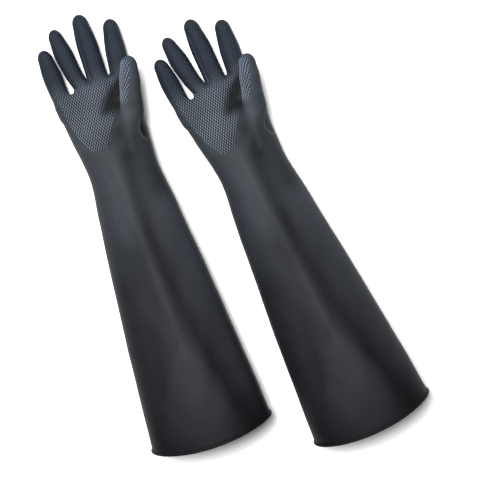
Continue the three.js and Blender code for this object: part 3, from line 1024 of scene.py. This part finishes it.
def build_glove(glove, skins_of_hand, seed):
    """All pieces of one glove; the bead and the palm are put on their bodies, the other pieces stay where
    they are made.
    """
    place = PLACES[glove]
    parts = [hand_parts(vertices, polygons) for vertices, polygons, _, _ in skins_of_hand]

    def hand_skins(number):
        return [(v, part[number], n, values) for (v, _, n, values), part in zip(skins_of_hand, parts)]

    def piece(skins, name, node, slot, material):
        made = gather(skins, place, f"{glove}_{name}", material)
        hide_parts(f"{glove}_{node}")
        return made

    def sleeve_skins(low, high):
        """The outside and the inside of a stretch of sleeve."""
        skins = []
        for inset in (0.0, WALL):
            v, q = make_sleeve(low, high, inset, seed)
            n = vertex_normals(v, q)
            edge = v[:, 1] > JOIN_Y - ON_JOIN
            if edge.any():
                n[edge] = unit(gradient(v[edge], hand_distance)) * (1 if inset == 0 else -1)
            # painted light and shade on the outside of the sleeve
            tone = hand_painted_light_and_tone(*v.T) if inset == 0 else np.full(len(v), LINING_TONE)
            skins.append((v, q, n, {"tone": tone}))
        return skins

    bead_v, bead_q = make_bead()
    bead_skin = (bead_v, bead_q, vertex_normals(bead_v, bead_q), {"tone": np.full(len(bead_v), BEAD_TONE)})
    bead = piece([bead_skin], "rolled_hem", "cuff_bead", "bead", BEAD_RUBBER)
    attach(bead, f"{glove}_upper")

    upper_skins = sleeve_skins(BEAD_R, SLEEVE_SPLIT)
    upper = piece(upper_skins, "sleeve_upper", "upper_sleeve", "sleeve", SLEEVE_RUBBER)
    world_point(place, 0, ELBOW_Y + ELBOW_BEND, FLEX_HEIGHT)
    world_point(place, 0, ELBOW_Y - ELBOW_BEND, FLEX_HEIGHT)
    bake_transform(upper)

    wrist_skins = sleeve_skins(SLEEVE_SPLIT, JOIN_Y) + hand_skins(0)
    wrist = piece(wrist_skins, "sleeve_wrist", "forearm_sleeve", "sleeve", SLEEVE_RUBBER)
    world_point(place, 0, WRIST_Y - WRIST_BEND, FLEX_HEIGHT)
    world_point(place, 0, WRIST_Y + WRIST_BEND, FLEX_HEIGHT)
    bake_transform(wrist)

    palm = piece(hand_skins(1), "palm_and_back", "hand", "hand", HAND_RUBBER)
    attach(palm, f"{glove}_palm")

    for number, key in enumerate([*FINGERS, "thumb"]):
        if key == "thumb":
            cuts, first_bend, half = thumb_cuts(), THUMB_BEND, THUMB_BEND
        else:
            cuts, first_bend, half = finger_cuts(key), KNUCKLE_BEND, FINGER_BEND
        lower = piece(hand_skins(2 + 2 * number), f"{key}_lower", f"{key}_root", "hand", HAND_RUBBER)
        digit_point(place, key, cuts[0])
        digit_point(place, key, cuts[0] + first_bend)
        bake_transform(lower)
        tip = piece(hand_skins(3 + 2 * number), f"{key}_tip", f"{key}_end", "hand", HAND_RUBBER)
        digit_point(place, key, cuts[1] - half)
        digit_point(place, key, cuts[1] + half)
        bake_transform(tip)


# -------- materials
# Noise scale, detail and roughness.
CLOUDY, MOTTLED = (38.0, 3.0, 0.55), (210.0, 3.0, 0.6)
FINE, GRAIN = (900.0, 5.0, 0.7), (2600.0, 2.0, 0.5)
# How far the first three move the colour, and what pits, lines and knots do to it: painted shade in the
# pits, painted sheen and wear over the net, painted highlights on the knots.
CLOUDY_SPAN, MOTTLED_SPAN, FINE_SPAN = 0.4, 0.36, 0.3
PIT_SHADE, NET_SHEEN_AND_WEAR, NET_POWER, KNOT_HIGHLIGHT = 0.93, 1.75, 2.0, 2.1
ROUGHNESS, ROUGH_SPAN, PIT_ROUGH = 0.46, 0.16, 0.15
GRAIN_SHARE = 0.4
GLOVE_LENGTH = 600.0
# The rubber's colour from the opening (0) to the fingertips (1), in steps of 0 to 255.
RAMP = (
    (0.0, (11, 12, 15)),
    (0.03, (12, 13, 16)),
    (0.08, (18, 19, 22)),
    (0.12, (23, 24, 27)),
    (0.42, (30, 32, 36)),
    (0.645, (38, 41, 45)),
    (0.76, (40, 44, 48)),
    (0.83, (39, 43, 48)),
    (0.9, (34, 41, 51)),
)


def srgb(*steps):
    """A colour in steps of 0 to 255 as linear light, with full opacity."""
    shares = [v / 255 for v in steps]
    return tuple(v / 12.92 if v <= 0.04045 else ((v + 0.055) / 1.055) ** 2.4 for v in shares) + (1.0,)


def rubber(name):
    """Dipped black rubber: darkest at the opening, greyer over the hand, painted shade in the pits,
    painted sheen over the net lines and painted highlights on the knots.
    """
    material = bpy.data.materials.new(name)
    material.use_nodes = True
    nodes, links = material.node_tree.nodes, material.node_tree.links
    shader = nodes["Principled BSDF"]
    shader.inputs["Specular IOR Level"].default_value = 0.085
    shader.inputs["IOR"].default_value = 1.5

    def node(kind, **settings):
        made = nodes.new(kind)
        for key, value in settings.items():
            setattr(made, key, value)
        return made

    def math_node(operation, *values):
        made = node("ShaderNodeMath", operation=operation)
        for socket, value in zip(made.inputs, values):
            if isinstance(value, (int, float)):
                socket.default_value = value
            else:
                links.new(value, socket)
        return made.outputs[0]

    def scaled(value, amount, base):
        return math_node("ADD", math_node("MULTIPLY", value, amount), base)

    def attribute(key):
        return node("ShaderNodeAttribute", attribute_name=key).outputs["Fac"]

    def noise(scale, detail, roughness):
        made = node("ShaderNodeTexNoise")
        made.inputs["Scale"].default_value = scale
        made.inputs["Detail"].default_value = detail
        made.inputs["Roughness"].default_value = roughness
        links.new(place.outputs["Vector"], made.inputs["Vector"])
        return made.outputs["Fac"]

    place = node("ShaderNodeAttribute", attribute_name="place")
    pit, knot, grip, painted = (attribute(key) for key in POINT_VALUES)
    split = node("ShaderNodeSeparateXYZ")
    links.new(place.outputs["Vector"], split.inputs[0])
    share = math_node("DIVIDE", split.outputs["Y"], GLOVE_LENGTH * MM)
    ramp = node("ShaderNodeValToRGB")
    links.new(share, ramp.inputs["Fac"])
    elements = ramp.color_ramp.elements
    while len(elements) < len(RAMP):
        elements.new(0.5)
    for element, (at, colour) in zip(elements, RAMP):
        element.position = at
        element.color = srgb(*colour)

    fine = noise(*FINE)
    factors = (
        scaled(noise(*MOTTLED), MOTTLED_SPAN, 1 - MOTTLED_SPAN / 2),
        scaled(fine, FINE_SPAN, 1 - FINE_SPAN / 2),
        painted,
        # painted shade in the pits
        math_node("SUBTRACT", 1.0, math_node("MULTIPLY", pit, PIT_SHADE)),
        # painted sheen and wear over the net
        scaled(math_node("POWER", grip, NET_POWER), NET_SHEEN_AND_WEAR, 1.0),
        # painted highlights on the knots
        scaled(knot, KNOT_HIGHLIGHT, 1.0),
    )
    tone = scaled(noise(*CLOUDY), CLOUDY_SPAN, 1 - CLOUDY_SPAN / 2)
    for factor in factors:
        tone = math_node("MULTIPLY", tone, factor)
    colour = node("ShaderNodeVectorMath", operation="SCALE")
    links.new(ramp.outputs["Color"], colour.inputs[0])
    links.new(tone, colour.inputs["Scale"])
    links.new(colour.outputs[0], shader.inputs["Base Color"])

    rough = scaled(fine, ROUGH_SPAN, ROUGHNESS)
    rough = math_node("ADD", rough, math_node("MULTIPLY", pit, PIT_ROUGH))
    links.new(rough, shader.inputs["Roughness"])
    relief = node("ShaderNodeBump")
    relief.inputs["Strength"].default_value = 0.35
    relief.inputs["Distance"].default_value = 0.0002
    height = math_node("ADD", fine, math_node("MULTIPLY", noise(*GRAIN), GRAIN_SHARE))
    links.new(height, relief.inputs["Height"])
    links.new(relief.outputs[0], shader.inputs["Normal"])
    return material


HAND_RUBBER, SLEEVE_RUBBER = rubber("hand_rubber"), rubber("sleeve_rubber")
BEAD_RUBBER = rubber("hem_rubber")

hand_and_lining = (make_hand(), make_lining())
for number, glove in enumerate(PLACES):
    build_glove(glove, hand_and_lining, number)


# -------- floor, lights, camera
def make_floor():
    bpy.ops.mesh.primitive_plane_add(size=12)
    floor = bpy.context.object
    floor.name = "floor"
    material = bpy.data.materials.new("pale_floor")
    material.use_nodes = True
    shader = material.node_tree.nodes["Principled BSDF"]
    shader.inputs["Base Color"].default_value = (0.93, 0.93, 0.935, 1)
    shader.inputs["Roughness"].default_value = 0.9
    shader.inputs["Specular IOR Level"].default_value = 0.1
    floor.data.materials.append(material)


VIEW_TILT, VIEW_SIDE, VIEW_ROLL = math.radians(6.84), math.radians(2.51), math.radians(22.52)
VIEW_DISTANCE, VIEW_LENS = 1.8406, 100.0
VIEW_TARGET = Vector((0.0290, -0.0347, 0.0))
# Name, distance back, to the right and up in the camera's directions, size and power.
LIGHTS = (("front", 3.0, -0.5, 0.4, 1.0, 142), ("key", 2.4, -0.7, 0.8, 2.4, 64))
LIT_POINT, SURROUND = Vector((0, 0, 0.04)), 0.18


def make_camera():
    """Aims the camera. Returns its directions right, up and back."""
    data = bpy.data.cameras.new("camera")
    data.lens = VIEW_LENS
    data.sensor_width = 36.0
    data.clip_end = 50.0
    camera = into_scene(bpy.data.objects.new("camera", data))
    flat = math.cos(VIEW_SIDE)
    back = Vector((math.sin(VIEW_SIDE), math.sin(VIEW_TILT) * flat, math.cos(VIEW_TILT) * flat))
    right = Vector((0, 1, 0)).cross(back).normalized()
    up = back.cross(right)
    c, s = math.cos(VIEW_ROLL), math.sin(VIEW_ROLL)
    x_axis, y_axis = right * c - up * s, right * s + up * c
    place = VIEW_TARGET + back * VIEW_DISTANCE
    rows = [(x_axis[i], y_axis[i], back[i], place[i]) for i in range(3)]
    camera.matrix_world = Matrix((*rows, (0, 0, 0, 1)))
    bpy.context.scene.camera = camera
    return x_axis, y_axis, back


def area_light(name, place, toward, size, power):
    data = bpy.data.lights.new(name, "AREA")
    data.shape = "DISK"
    data.size = size
    data.energy = power
    light = into_scene(bpy.data.objects.new(name, data))
    light.location = place
    light.rotation_euler = (toward - place).to_track_quat("-Z", "Y").to_euler()


bpy.context.scene.view_settings.view_transform = "Standard"
make_floor()
view_right, view_up, view_back = make_camera()
for name, back, right, up, size, power in LIGHTS:
    offset = view_back * back + view_right * right + view_up * up
    area_light(name, LIT_POINT + offset, LIT_POINT, size, power)
world = bpy.context.scene.world or bpy.data.worlds.new("world")
bpy.context.scene.world = world
world.use_nodes = True
world.node_tree.nodes["Background"].inputs[0].default_value = (1, 1, 1, 1)
world.node_tree.nodes["Background"].inputs[1].default_value = SURROUND
